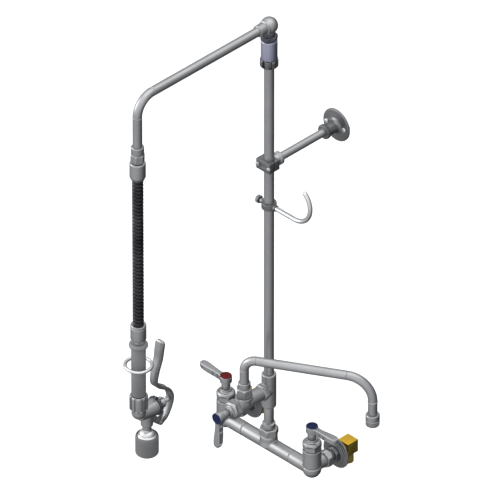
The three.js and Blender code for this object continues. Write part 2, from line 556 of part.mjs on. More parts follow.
/** Inlet bowl, barrel towards the lever, outlet stem and pivot lug. */
function valveBody() {
  const { z, inletZ, r, ringY, outletY } = VALVE;
  const inlet = revolve([
    [0, inletZ - r], [r * 0.38, inletZ - r * 0.92], [r * 0.71, inletZ - r * 0.71], [r * 0.92, inletZ - r * 0.38],
    [r, inletZ], [r, 243], [0, 243],
  ]);
  const barrel = revolve([[0, 0], [11, 0], [12.4, 12], [14.6, 26], [15.4, ringY - 1.6], [0, ringY - 1.6]])
    .rotate([-90, 0, 0]).translate([0, 0, z]);
  const stem = revolve([
    [0, HEAD.top + GAP], [7.6, HEAD.top + GAP], [7.6, 183.6], [10.5, 184.4], [10.5, z], [0, z],
  ]).translate([0, outletY, 0]);
  const lugOutline = new THREE.Shape([
    [22, 188], [22, 206], [36.2, 206], [36.2, 195.4], [50, 181.6], [53, 177.6], [51.6, 173.2], [47, 171.8],
    [42.6, 173.4], [31, 184],
  ].map(([across, up]) => new THREE.Vector2(across, up)));
  const lug = solid(new THREE.ExtrudeGeometry(lugOutline, { depth: 6, bevelEnabled: false }))
    .translate([0, 0, -3]).rotate([90, 0, 0]).rotate([0, 0, 90]);
  const ways = [
    hole(7, inletZ - 3, 245, TINY), holeAlongY(6, 0, ringY, z, TINY), holeAlongY(10.3, 24, ringY, z),
    hole(5, 170, z, TINY).translate([0, outletY, 0]),
    holeAlongX(1.9 + GAP, -5, 5, TINY).translate([0, PIVOT.y, PIVOT.z]),
  ];
  return cut(union(inlet, barrel, stem, lug), ...ways);
}

/** The threaded bonnet and the plunger that slides in it. */
function bonnetAndPlunger(group) {
  const { z, ringY, capY } = VALVE;
  const bonnet = revolve([
    [0, ringY - 8], [10, ringY - 8], [10, ringY - 1.3], [15.4, ringY - 1.3], [17, ringY], [17, ringY + 5.6],
    [15.6, ringY + 7], [10.6, ringY + 7.6], [10, ringY + 9], [10, capY - 5.6], [9.2, capY - 4.6], [0, capY - 4.6],
  ]);
  const flats = [0, 1, 2, 3, 4, 5].map((i) =>
    block([15.6, -9, ringY + 1.4], [20, 9, ringY + 9]).rotate([0, 0, i * 60]));
  const bores = [hole(4.4, 0, 80), hole(8.2, 0, ringY + 10)];
  place("valve_bonnet", cut(bonnet, ...flats, ...bores).rotate([-90, 0, 0]).translate([0, 0, z]), chrome, group);

  const plunger = revolve([
    [0, 33], [7.8, 33], [7.8, 36], [4.1, 36.6], [4.1, capY + 1.4], [5.4, capY + 2], [5.4, capY + 6.2],
    [4.4, capY + 7], [0, capY + 7.4],
  ], COARSE);
  place("valve_plunger", plunger.rotate([-90, 0, 0]).translate([0, 0, z]), steel, group);
}

/** The squeeze lever: an S-shaped bar from its pivot, round the bonnet and up beside the grip. */
function squeezeLever() {
  const centreline = new THREE.CatmullRomCurve3(
    [[PIVOT.y + 3, PIVOT.z - 1], [60.7, 183], [68, 196], [72.5, 210], [72, 222], [65, 235], [54, 244],
      [42.7, 251.6], [36.3, 260], [35.9, 271], [40, 288], [45.7, 305], [48, 320], [50.4, 333]]
      .map(([y, z]) => new THREE.Vector3(0, y, z)), false, "centripetal",
  );
  const steps = 22;
  const half = (t) => 3.6 + 0.9 * Math.sin(Math.PI * t);
  const side = (sign) => Array.from({ length: steps + 1 }, (_, i) => {
    const t = i / steps;
    const at = centreline.getPointAt(t);
    const along = centreline.getTangentAt(t);
    return new THREE.Vector2(at.y - sign * along.z * half(t), at.z + sign * along.y * half(t));
  });
  const outline = new THREE.Shape([...side(1), ...side(-1).reverse()]);
  const width = 15;
  const bevel = { bevelThickness: 1.4, bevelSize: 1.2, bevelOffset: -1.2, bevelSegments: 1 };
  const bar = solid(new THREE.ExtrudeGeometry(outline, { depth: width - 2.8, ...bevel }))
    .translate([0, 0, 1.4 - width / 2]);
  // The outline's X and Y become the part's Y and Z, and its depth becomes X.
  const upright = bar.rotate([90, 0, 0]).rotate([0, 0, 90]);
  const knuckle = discAlongX(5, -5.4, 5.4, COARSE).translate([0, PIVOT.y, PIVOT.z]);
  const forkSlot = block([-3.3, PIVOT.y - 8, PIVOT.z - 8], [3.3, PIVOT.y + 7, PIVOT.z + 12]);
  const waist = [-1, 1].map((s) => block([0, 30, 166], [9, 80, 235]).translate([s > 0 ? 5.6 : -14.6, 0, 0]));
  const pinHole = holeAlongX(1.9 + GAP, -9, 9, TINY).translate([0, PIVOT.y, PIVOT.z]);
  return cut(union(upright, knuckle), forkSlot, pinHole, ...waist);
}

/** The spray head: bell, rubber bumper and drilled face. */
function sprayHead() {
  const head = frameAt([0, ARM_Y + VALVE.outletY, 0]);
  const { bottom, top, r } = HEAD;
  const bell = revolve([
    [0, 157], [17, 157], [17, 163.4], [13.7, 166.6], [13.7, 169.6], [11.4, 173.6], [8.4, top], [0, top],
  ]);
  place("spray_bell", cut(bell, hole(5, 150, 190, TINY), hole(13, 150, 161)), chrome, head);

  const bumper = revolve([
    [0, bottom], [17.4, bottom], [r, bottom + 2.6], [r, 162.6], [18.3, 165], [0, 165],
  ]);
  place("spray_bumper", cut(bumper, hole(17 + GAP, 157 - GAP, 170, FINE), hole(15.2, bottom - 1, 160, FINE)), greyRubber, head);

  const face = disc(14.9, bottom + 3, bottom + 7);
  const holes = [];
  for (const [count, radius] of [[6, 8.4]]) {
    for (let i = 0; i < count; i += 1) {
      const angle = (i * 2 * Math.PI) / count;
      holes.push(disc(1.6, bottom, bottom + 9, TINY).translate([radius * Math.cos(angle), radius * Math.sin(angle), 0]));
    }
  }
  place("spray_face", cut(face, ...holes), steel, head);
}

// ---------------------------------------------------------------- assembly
place("mixing_body", mixingBody(), chrome);
stemSet("hot", redPlastic, frameAt([-INLET_X, RISER_Y, BODY.valveTop], [-1, 0, 0], [0, -1, 0]));
stemSet("cold", bluePlastic, frameAt([INLET_X, RISER_Y, BODY.valveTop]));
stemSet("addon", bluePlastic,
  frameAt([0, RISER_Y - TEE.barrelEnd, TEE.z], [0, 0, -1], [1, 0, 0], [0, -1, 0]));
supply("hot", -INLET_X);
supply("cold", INLET_X);
riserFoot();
place("addon_body", teeBody(), chrome);
swingNozzle();
riserPipe();
wallBracket();
fingerHook();
overheadSwivel();
hoseSet();
sprayValve();

export default assembly;
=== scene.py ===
"""Looks of the wall-mounted pre-rinse faucet: camera, hose, detailed pieces, materials, floor and lights."""
from math import cos, pi, radians, sin, sqrt

import bmesh
import bpy
from mathutils import Matrix, Vector


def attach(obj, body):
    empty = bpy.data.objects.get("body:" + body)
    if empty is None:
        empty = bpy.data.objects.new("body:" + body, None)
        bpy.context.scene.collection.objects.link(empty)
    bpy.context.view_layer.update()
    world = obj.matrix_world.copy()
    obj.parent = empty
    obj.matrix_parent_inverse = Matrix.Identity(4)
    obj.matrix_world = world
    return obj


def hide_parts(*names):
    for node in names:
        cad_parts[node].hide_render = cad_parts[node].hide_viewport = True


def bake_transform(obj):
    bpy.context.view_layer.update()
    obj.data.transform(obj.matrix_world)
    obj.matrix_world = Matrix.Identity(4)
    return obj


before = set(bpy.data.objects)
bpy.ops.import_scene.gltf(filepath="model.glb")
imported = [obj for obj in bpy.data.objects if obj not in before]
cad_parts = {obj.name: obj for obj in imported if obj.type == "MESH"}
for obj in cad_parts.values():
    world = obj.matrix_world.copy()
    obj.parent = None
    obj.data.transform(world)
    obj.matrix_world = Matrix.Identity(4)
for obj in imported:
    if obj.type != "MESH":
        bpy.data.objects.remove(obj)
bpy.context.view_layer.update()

MM = 0.001

# Driving places and radii in mm, from the middle of the wall plane between the inlets.
RISER_Y = -58.0
ARM_Y = RISER_Y - 304.8
DROP = (0, ARM_Y, 0)
INLET_X, SUPPLY_Z, ELBOW_Y = 101.6, 4.0, 27.5
RIM_Z = 40.0
ADDON_Z, ADDON_FRONT, NOZZLE_Y = 112.5, RISER_Y - 76, RISER_Y - 58
CLAMP_Z, WALL_REACH = 570.5, 160.0
HOOK_Z = 487.2
BALL_Z, BALL_R = 847.6, 14.8
SPRAY_OUT, SPRAY_Z = 18.8, 213.0
PIN_OUT, PIN_Z = 48.0, 176.5
RISER_R, TUBE_R, BRACKET_R = 8.55, 7.95, 6.85

# The studio sky is brightest in this direction.
SOFT_SKY = (0.035, -0.66, 0.75)


# ------------------------------------------------------------------ camera
def add_camera(azimuth=45.0, elevation=35.264, target=(-0.0223, -0.0803, 0.3953), distance=27.6):
    data = bpy.data.cameras.new("camera")
    data.sensor_width, data.lens = 36.0, 1198.0
    data.clip_start, data.clip_end = 1.0, 80.0
    camera = bpy.data.objects.new("camera", data)
    bpy.context.scene.collection.objects.link(camera)
    az, el = radians(azimuth), radians(elevation)
    away = Vector((cos(el) * sin(az), -cos(el) * cos(az), sin(el)))
    camera.location = Vector(target) + away * distance
    camera.rotation_euler = (-away).to_track_quat("-Z", "Y").to_euler()
    bpy.context.scene.camera = camera
    bpy.context.scene.view_settings.view_transform = "Standard"


add_camera()


# ------------------------------------------------------------------ materials
def nodes_of(name):
    material = bpy.data.materials.new(name)
    material.use_nodes = True
    tree = material.node_tree
    shader = tree.nodes["Principled BSDF"]

    def new(kind, **settings):
        node = tree.nodes.new(kind)
        for key, value in settings.items():
            if key in node.inputs:
                node.inputs[key].default_value = value
            else:
                setattr(node, key, value)
        return node

    return material, tree, shader, new


def ramp(new, low, high, a=0.3, b=0.7):
    node = new("ShaderNodeValToRGB")
    node.color_ramp.elements[0].position, node.color_ramp.elements[1].position = a, b
    node.color_ramp.elements[0].color = (*low, 1)
    node.color_ramp.elements[1].color = (*high, 1)
    return node


def paint_side_shade(new, link, place, bright, side_shade_tones):
    """Painted shade: mixes cloudy darker tones over a bright colour wherever the surface doesn't face up, so
    the top looks lit and the sides shaded.
    """
    patches = new("ShaderNodeTexNoise", Scale=90.0)
    link(place.outputs["Object"], patches.inputs["Vector"])
    shade_tone = ramp(new, *side_shade_tones)
    link(patches.outputs["Fac"], shade_tone.inputs["Fac"])
    facing = new("ShaderNodeSeparateXYZ")
    link(place.outputs["Normal"], facing.inputs["Vector"])
    # Painted light and shade: upward faces keep the bright colour as if lit from above, the rest get the
    # darker shade tones.
    top = new("ShaderNodeMapRange")
    top.inputs["From Min"].default_value, top.inputs["From Max"].default_value = 0.6, 0.97
    link(facing.outputs["Z"], top.inputs["Value"])
    mixed = new("ShaderNodeMix", data_type="RGBA")
    link(top.outputs["Result"], mixed.inputs["Factor"])
    link(shade_tone.outputs["Color"], mixed.inputs[6])
    link(bright, mixed.inputs[7])
    return mixed.outputs[2]


def metal(name, dark, light, rough, grain=(260, 260, 260), bump=0.03, cloud=22, speck=0.0, metallic=1.0,
          side_shade_tones=None):
    """Plated or brushed metal: cloudy tone, grain that varies the gloss and, with speck, fine pits.

    A second pair of tones paints shade on the faces that don't face up and leaves the top bright, as if lit
    from above."""
    material, tree, shader, new = nodes_of(name)
    link = tree.links.new
    place = new("ShaderNodeTexCoord")
    tone = new("ShaderNodeTexNoise", Scale=cloud, Detail=5.0, Roughness=0.6)
    link(place.outputs["Object"], tone.inputs["Vector"])
    colour = ramp(new, dark, light, 0.25, 0.75)
    link(tone.outputs["Fac"], colour.inputs["Fac"])
    base = colour.outputs["Color"]
    # Painted shade on the sides and a painted lit top, set by which way each face points.
    if side_shade_tones:
        base = paint_side_shade(new, link, place, base, side_shade_tones)
    link(base, shader.inputs["Base Color"])
    stretch = new("ShaderNodeMapping")
    stretch.inputs["Scale"].default_value = grain
    link(place.outputs["Object"], stretch.inputs["Vector"])
    fine = new("ShaderNodeTexNoise", Scale=4.0, Detail=6.0, Roughness=0.65)
    link(stretch.outputs["Vector"], fine.inputs["Vector"])
    gloss = new("ShaderNodeMapRange")
    gloss.inputs["To Min"].default_value = rough * 0.8
    gloss.inputs["To Max"].default_value = rough * 1.25
    link(fine.outputs["Fac"], gloss.inputs["Value"])
    link(gloss.outputs["Result"], shader.inputs["Roughness"])
    height = new("ShaderNodeBump", Strength=bump * 4, Distance=0.0002)
    link(fine.outputs["Fac"], height.inputs["Height"])
    if speck:
        pits = new("ShaderNodeTexNoise", Scale=420.0, Detail=2.0)
        link(place.outputs["Object"], pits.inputs["Vector"])
        lower = new("ShaderNodeBump", Strength=speck, Distance=0.0003)
        link(pits.outputs["Fac"], lower.inputs["Height"])
        link(lower.outputs["Normal"], height.inputs["Normal"])
    link(height.outputs["Normal"], shader.inputs["Normal"])
    shader.inputs["Metallic"].default_value = metallic
    return material


def plastic(name, dark, light, rough, bump=0.25, specular=0.5):
    """Moulded plastic or rubber: soft tone changes and a fine spark-eroded texture."""
    material, tree, shader, new = nodes_of(name)
    link = tree.links.new
    place = new("ShaderNodeTexCoord")
    tone = new("ShaderNodeTexNoise", Scale=30.0, Detail=4.0)
    link(place.outputs["Object"], tone.inputs["Vector"])
    colour = ramp(new, dark, light)
    link(tone.outputs["Fac"], colour.inputs["Fac"])
    link(colour.outputs["Color"], shader.inputs["Base Color"])
    skin = new("ShaderNodeTexNoise", Scale=900.0, Detail=3.0)
    link(place.outputs["Object"], skin.inputs["Vector"])
    height = new("ShaderNodeBump", Strength=bump, Distance=0.0002)
    link(skin.outputs["Fac"], height.inputs["Height"])
    link(height.outputs["Normal"], shader.inputs["Normal"])
    gloss = new("ShaderNodeMapRange")
    gloss.inputs["To Min"].default_value = rough * 0.85
    gloss.inputs["To Max"].default_value = rough * 1.2
    link(skin.outputs["Fac"], gloss.inputs["Value"])
    link(gloss.outputs["Result"], shader.inputs["Roughness"])
    shader.inputs["Specular IOR Level"].default_value = specular
    return material


CHROME = metal("chrome_plate", (0.31, 0.313, 0.318), (0.39, 0.393, 0.398), 0.40, speck=0.05)
CAST = metal("chrome_on_casting", (0.30, 0.303, 0.308), (0.385, 0.388, 0.393), 0.44, bump=0.06, speck=0.14)
TUBE = metal("chrome_on_drawn_tube", (0.33, 0.333, 0.338), (0.40, 0.403, 0.408), 0.41, grain=(500, 500, 30))
DARK_CHROME = metal("dark_chrome_plate", (0.15, 0.152, 0.156), (0.22, 0.222, 0.226), 0.42,
                    grain=(60, 700, 60), bump=0.05)
STEEL = metal("bright_steel", (0.56, 0.565, 0.57), (0.68, 0.685, 0.69), 0.30, grain=(400, 400, 60))
# Brass: its second pair of tones is painted shade on the sides; the top stays bright as if lit from above.
BRASS = metal("raw_brass", (0.56, 0.34, 0.014), (0.68, 0.43, 0.026), 0.46, cloud=45, bump=0.08, speck=0.18,
              metallic=0.6, side_shade_tones=((0.115, 0.085, 0.012), (0.19, 0.14, 0.018)))
SWIVEL = metal("blued_swivel_metal", (0.34, 0.345, 0.46), (0.42, 0.43, 0.54), 0.38,
               grain=(40, 40, 700), bump=0.06)
DARKNUT = metal("dark_swivel_nut", (0.08, 0.082, 0.10), (0.13, 0.133, 0.155), 0.40, bump=0.06)
HOSE = metal("dark_hose_steel", (0.016, 0.016, 0.018), (0.05, 0.05, 0.053), 0.34,
             grain=(300, 300, 90), bump=0.05)
GRIP = plastic("grey_grip_sleeve", (0.15, 0.153, 0.156), (0.19, 0.193, 0.197), 0.46)
RUBBER = plastic("bumper_rubber", (0.115, 0.118, 0.12), (0.15, 0.153, 0.156), 0.58, bump=0.35)
RED = plastic("hot_index_plastic", (0.09, 0.002, 0.003), (0.15, 0.004, 0.005), 0.55, bump=0.08, specular=0.2)
BLUE = plastic("cold_index_plastic", (0.002, 0.006, 0.035), (0.005, 0.013, 0.07), 0.55,
               bump=0.08, specular=0.2)


# ------------------------------------------------------------------ shapes: (points in mm, faces)
def soften(profile, radius=0.6, steps=3):
    """Rounds the corners of an open [radius, height] profile."""
    out = [tuple(profile[0])]
    for a, b, c in zip(profile, profile[1:], profile[2:]):
        pa, pb, pc = Vector(a), Vector(b), Vector(c)
        u, v = pa - pb, pc - pb
        if u.length < 1e-6 or v.length < 1e-6 or abs(u.normalized().dot(v.normalized())) > 0.985:
            out.append(tuple(b))
            continue
        reach = min(radius, u.length * 0.45, v.length * 0.45)
        start, end = pb + u.normalized() * reach, pb + v.normalized() * reach
        for k in range(steps + 1):
            t = k / steps
            out.append(tuple(start * (1 - t) ** 2 + pb * (2 * t * (1 - t)) + end * t**2))
    out.append(tuple(profile[-1]))
    return out


def turned(profile, seg=64, shape=None):
    """A profile turned about Z. Rows at r = 0 close to a point.

    shape(angle, r, z) may change the radius round the turn."""
    verts, rows = [], []
    for r, z in profile:
        if r < 1e-6:
            rows.append([len(verts)])
            verts.append((0.0, 0.0, z))
            continue
        rows.append(list(range(len(verts), len(verts) + seg)))
        for i in range(seg):
            angle = 2 * pi * i / seg
            radius = shape(angle, r, z) if shape else r
            verts.append((radius * cos(angle), radius * sin(angle), z))
    faces = []
    if len(rows[0]) > 1 and len(rows[-1]) > 1:
        rows.append(rows[0])
    for a, b in zip(rows, rows[1:]):
        for i in range(seg):
            j = (i + 1) % seg
            if len(a) == 1 and len(b) == 1:
                break
            if len(a) == 1:
                faces.append((a[0], b[j], b[i]))
            elif len(b) == 1:
                faces.append((a[i], a[j], b[0]))
            else:
                faces.append((a[i], a[j], b[j], b[i]))
    return verts, faces


def across(angle, flats, corner, turn=0.0, sides=6):
    """Radius of a polygon with rounded corners at an angle."""
    step = 2 * pi / sides
    phi = (angle - turn) % step - step / 2
    return min(flats / 2 / cos(phi), corner)


def notches(count, depth, share, beyond, low=-1e9, high=1e9):
    """A shape for turned: notches that take a share of each pitch, past a radius and between two heights."""
    def shape(angle, r, z):
        if r <= beyond or not low < z < high:
            return r
        return r - depth if (angle * count / (2 * pi)) % 1 < share else r
    return shape


def hex_nut(flats, z0, z1, bore=0.0, turn=0.0, low=1.2, high=1.6, crown=None):
    """A hexagon with its ends turned down to a round face, which leaves curved chamfer lines on its flats."""
    corner = flats / 2 / cos(pi / 6) * 0.985
    apothem = flats / 2
    rim = apothem * 0.955
    rows = [(rim, z0)]
    rows += [(rim + (corner - rim) * k / 5, z0 + low * (k / 5)) for k in range(1, 6)]
    if crown:
        rows += [(corner, z1 - crown)]
        for k in range(1, 9):
            t = k / 8
            fall = (corner - apothem * 0.86) * (1 - cos(t * pi / 2))
            rows.append((corner - fall, z1 - crown + crown * sin(t * pi / 2)))
    else:
        rows += [(corner - (corner - rim) * k / 5, z1 - high + high * (k / 5)) for k in range(0, 6)]
    profile = [(bore, z0)] + rows + [(bore, z1)]

    def shape(a, r, z):
        return min(r, across(a, flats, corner, turn)) if r > bore + 1e-6 else r

    return turned(profile, 96, shape)


def sweep(points, section, caps=True):
    """A closed section carried along points. section(k, t) gives its outline, across and along the normal."""
    count = len(points)
    points = [Vector(p) for p in points]
    tangents = []
    for k in range(count):
        a, b = points[max(k - 1, 0)], points[min(k + 1, count - 1)]
        tangents.append((b - a).normalized())
    side = tangents[0].orthogonal().normalized()
    if abs(tangents[0].x) < 0.01:
        side = Vector((1, 0, 0))
    verts, rows = [], []
    for k, (p, t) in enumerate(zip(points, tangents)):
        side = (side - t * side.dot(t)).normalized()
        normal = t.cross(side)
        rows.append([])
        for u, v in section(k, k / (count - 1)):
            rows[-1].append(len(verts))
            verts.append(tuple(p + side * u + normal * v))
    faces = []
    n = len(rows[0])
    for a, b in zip(rows, rows[1:]):
        faces += [(a[i], a[(i + 1) % n], b[(i + 1) % n], b[i]) for i in range(n)]
    if caps:
        faces += [tuple(reversed(rows[0])), tuple(rows[-1])]
    return verts, faces


def circle(r, seg=40):
    return [(r * cos(2 * pi * i / seg), r * sin(2 * pi * i / seg)) for i in range(seg)]


def rod(points, r, seg=40, scored=()):
    """A round bar along points, with a shallow ring cut round it at the scored stations."""
    route, radii = [], []
    for k, point in enumerate(points):
        if k not in scored:
            route.append(point)
            radii.append(r)
            continue
        along = (Vector(points[k + 1]) - Vector(points[k - 1])).normalized()
        for step, cut in ((-0.8, 0), (-0.5, 0.5), (0, 0.7), (0.5, 0.5), (0.8, 0)):
            route.append(tuple(Vector(point) + along * step))
            radii.append(r - cut)
    return sweep(route, lambda k, t: circle(radii[k], seg))


def bend(a, corner, b, radius, steps):
    """Points of an arc that rounds the corner between two straights."""
    a, corner, b = Vector(a), Vector(corner), Vector(b)
    u, v = (a - corner).normalized(), (b - corner).normalized()
    centre = corner + (u + v) * radius
    return [tuple(centre - v * radius * cos(t * pi / 2) - u * radius * sin(t * pi / 2))
            for t in (k / steps for k in range(steps + 1))]


def straight(a, b, steps):
    a, b = Vector(a), Vector(b)
    return [tuple(a.lerp(b, k / steps)) for k in range(steps + 1)]


def extrude(outline, low, high):
    """An outline in X and Y given a thickness in Z."""
    n = len(outline)
    verts = [(x, y, low) for x, y in outline] + [(x, y, high) for x, y in outline]
    faces = [tuple(reversed(range(n))), tuple(range(n, 2 * n))]
    faces += [(i, (i + 1) % n, n + (i + 1) % n, n + i) for i in range(n)]
    return verts, faces


def block(low, high):
    (x0, y0, z0), (x1, y1, z1) = low, high
    return extrude([(x0, y0), (x1, y0), (x1, y1), (x0, y1)], z0, z1)


def moved(shape, at=(0, 0, 0), x=(1, 0, 0), y=(0, 1, 0), z=(0, 0, 1)):
    """A shape whose own axes run along x, y and z, standing at a point."""
    turn = Matrix((x, y, z)).transposed()
    offset = Vector(at)
    flip = turn.determinant() < 0
    faces = [tuple(reversed(f)) for f in shape[1]] if flip else shape[1]
    return [tuple(turn @ Vector(v) + offset) for v in shape[0]], faces


def along_y(shape, at=(0, 0, 0)):
    """A shape built about Z laid along +Y: its Z runs along +Y and its Y runs down."""
    return moved(shape, at, (1, 0, 0), (0, 0, -1), (0, 1, 0))


def along_x(shape, at=(0, 0, 0)):
    return moved(shape, at, (0, 1, 0), (0, 0, 1), (1, 0, 0))


def joined(*shapes):
    verts, faces = [], []
    for v, f in shapes:
        base = len(verts)
        verts += list(v)
        faces += [tuple(i + base for i in face) for face in f]
    return verts, faces


# ------------------------------------------------------------------ pieces
def apply_modifier(obj, kind, **settings):
    mod = obj.modifiers.new(kind.lower(), kind)
    for key, value in settings.items():
        setattr(mod, key, value)
    bpy.context.view_layer.objects.active = obj
    with bpy.context.temp_override(object=obj, active_object=obj, selected_objects=[obj]):
        bpy.ops.object.modifier_apply(modifier=mod.name)


def raw(name, shape):
    mesh = bpy.data.meshes.new(name)
    mesh.from_pydata([tuple(c * MM for c in v) for v in shape[0]], [], shape[1])
    bm = bmesh.new()
    bm.from_mesh(mesh)
    bmesh.ops.remove_doubles(bm, verts=bm.verts, dist=1e-7)
    bmesh.ops.recalc_face_normals(bm, faces=bm.faces)
    bm.to_mesh(mesh)
    bm.free()
    obj = bpy.data.objects.new(name, mesh)
    bpy.context.scene.collection.objects.link(obj)
    return obj


def piece(name, shape, material, body, nodes=(), bevel=0.0, cut=(), cast=0.0, angle=32):
    """A finished piece on a body: holes cut, edges bevelled or melted together as a casting, then shaded."""
    obj = raw(name, shape)
    for tool_shape in cut:
        tool = raw(name + "_tool", tool_shape)
        apply_modifier(obj, "BOOLEAN", object=tool, operation="DIFFERENCE", solver="EXACT")
        bpy.data.objects.remove(tool)
    if cast:
        apply_modifier(obj, "REMESH", mode="VOXEL", voxel_size=cast * MM, adaptivity=0.0)
        apply_modifier(obj, "SMOOTH", factor=0.5, iterations=4)
    if bevel:
        apply_modifier(obj, "BEVEL", width=bevel * MM, segments=3, limit_method="ANGLE",
                       angle_limit=radians(30), harden_normals=False)
    mesh = obj.data
    mesh.polygons.foreach_set("use_smooth", [True] * len(mesh.polygons))
    if not cast:
        mesh.set_sharp_from_angle(angle=radians(angle))
    mesh.materials.clear()
    mesh.materials.append(material)
    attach(obj, body)
    if nodes:
        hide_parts(*([nodes] if isinstance(nodes, str) else nodes))
    return obj


# ------------------------------------------------------------------ hose (the free cord)
HOSE_TOP, HOSE_BOTTOM, HOSE_R = 688.7, 398.3, 9.5


def build_hose():
    """Interlocked flexible steel hose: one helical strip with a rounded crown and a groove on each turn."""
    pitch, per_turn, seg = 7.0, 14, 40
    rows = int((HOSE_TOP - HOSE_BOTTOM) / pitch * per_turn)
    heights = [HOSE_TOP - (HOSE_TOP - HOSE_BOTTOM) * k / rows for k in range(rows + 1)]

    def radius(angle, z):
        phase = (z / pitch + angle / (2 * pi)) % 1.0
        groove = max(0.0, 1 - abs(phase - 0.5) / 0.30)
        return HOSE_R - 1.9 * groove**0.8 - 0.3 * (2 * abs(phase - 0.5) - 0.65) ** 2

    verts, faces = [], []
    for z in heights:
        for i in range(seg):
            a = 2 * pi * i / seg
            verts.append((radius(a, z) * cos(a), ARM_Y + radius(a, z) * sin(a), z))
    for k in range(rows):
        for i in range(seg):
            j = (i + 1) % seg
            faces.append((k * seg + i, (k + 1) * seg + i, (k + 1) * seg + j, k * seg + j))
    faces += [tuple(range(seg)), tuple(reversed(range(rows * seg, rows * seg + seg)))]
    obj = raw("hose_corrugated", (verts, faces))
    obj.data.polygons.foreach_set("use_smooth", [True] * len(obj.data.polygons))
    obj.data.materials.append(HOSE)
    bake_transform(obj)
    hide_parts("hose")


build_hose()


# ------------------------------------------------------------------ base faucet
def build_mixing_body():
    seam = INLET_X - 45.6
    half = [(12, 0), (12, seam - 1.2), (10.6, seam - 0.7), (10.6, seam + 0.7), (12.2, seam + 1.2), (12.2, 94),
            (0, 94)]
    tube = [(r, -x) for r, x in reversed(half[1:])] + half[1:]
    parts = [along_x(turned(tube, 72), (0, RISER_Y, 0))]
    for x in (-INLET_X, INLET_X):
        dome = [(16 * sin(radians(a)), -16 * cos(radians(a))) for a in range(0, 91, 6)]
        wall = [(16, 0), (16, 4.6), (14.4, 5.6), (14.4, 6.8), (16, 7.8), (16, 39.2), (15.2, RIM_Z),
                (11.4, RIM_Z)]
        chamber = dome + soften(wall, 0.4)[1:] + [(11.4, 30), (0, 30)]
        parts.append(moved(turned(chamber, 96), (x, RISER_Y, 0)))
        neck = soften([(0, 0), (12, 0), (12, 28.4), (13, 28.6), (13, 33), (0, 33)], 0.5)
        parts.append(along_y(turned(neck, 72), (x, RISER_Y, SUPPLY_Z)))
    boss = soften([(0, 0), (16.6, 0), (15, 9), (15, 16), (13.6, 19.7), (0, 19.7)], 0.8)
    parts.append(moved(turned(boss, 72), (0, RISER_Y, 0)))
    piece("mixing_body_casting", joined(*parts), CAST, "base", "mixing_body", cast=0.55)


def valve_trim(name, body, index, place):
    """Bonnet, stem, lever handle and index button about an axis that rises from a chamber's rim."""
    flats, corner = 28.6, 17.0
    dome = [(6.6, 0.3), (13.6, 0.3), (13.8, 1.2), (16.4, 1.6), (17.0, 2.4)]
    dome += [(17.0, 2.4 + k * 1.05) for k in range(1, 7)]
    dome += [(17 - 4.6 * (1 - cos(radians(a))), 8.8 + 8.4 * sin(radians(a))) for a in range(9, 91, 9)]
    dome += soften([(12.4, 17.2), (10.4, 17.8), (9.6, 18.6), (9.6, 21.4), (9.0, 22), (6.6, 22)], 0.4)
    hexed = turned(dome, 144, scallop_shape(flats, corner))
    piece(f"{name}_bonnet_nut", place(hexed), CHROME, "base", f"{name}_bonnet")

    stem = soften([(0, 20), (6.1, 20), (6.1, 25.4), (7.6, 26.6), (7.6, 34.6), (0, 34.6)], 0.5)
    piece(f"{name}_stem", place(turned(stem, 96)), CHROME, body, f"{name}_spindle")

    hub = soften([(0, 35), (9.2, 35), (10.4, 36), (10.4, 46.2), (9.7, 47), (9.3, 47), (9.3, 45), (0, 45)],
                 0.5)
    handle = joined(turned(hub, 96), paddle())
    piece(f"{name}_lever_handle", place(handle), CHROME, body, f"{name}_handle", angle=40)

    button = soften([(0, 45.1), (8.9, 45.1), (8.9, 47.05), (10.1, 47.05), (10.1, 47.8), (9.5, 48.3),
                     (7.4, 48.4), (7.0, 47.4), (4.6, 47.4), (4.2, 48.2), (2.2, 48.2), (1.9, 47.4), (0, 47.4)],
                    0.2)
    piece(f"{name}_index_button", place(turned(button, 72)), index, body, f"{name}_index")


def scallop_shape(flats, corner):
    """Six flats low on a bonnet that fade out as arcs under its dome."""
    def shape(a, r, z):
        if r < 12.6 or z > 17:
            return r
        flat = across(a, flats, corner, pi / 6)
        return min(r, flat + max(0.0, z - 10) * 0.55)
    return shape


def mix(table, x):
    """Straight-line values between the rows of a small table, each row starting with its x."""
    for a, b in zip(table, table[1:]):
        if x <= b[0]:
            t = max(0.0, (x - a[0]) / (b[0] - a[0]))
            return [u + (v - u) * t for u, v in zip(a[1:], b[1:])]
    return table[-1][1:]


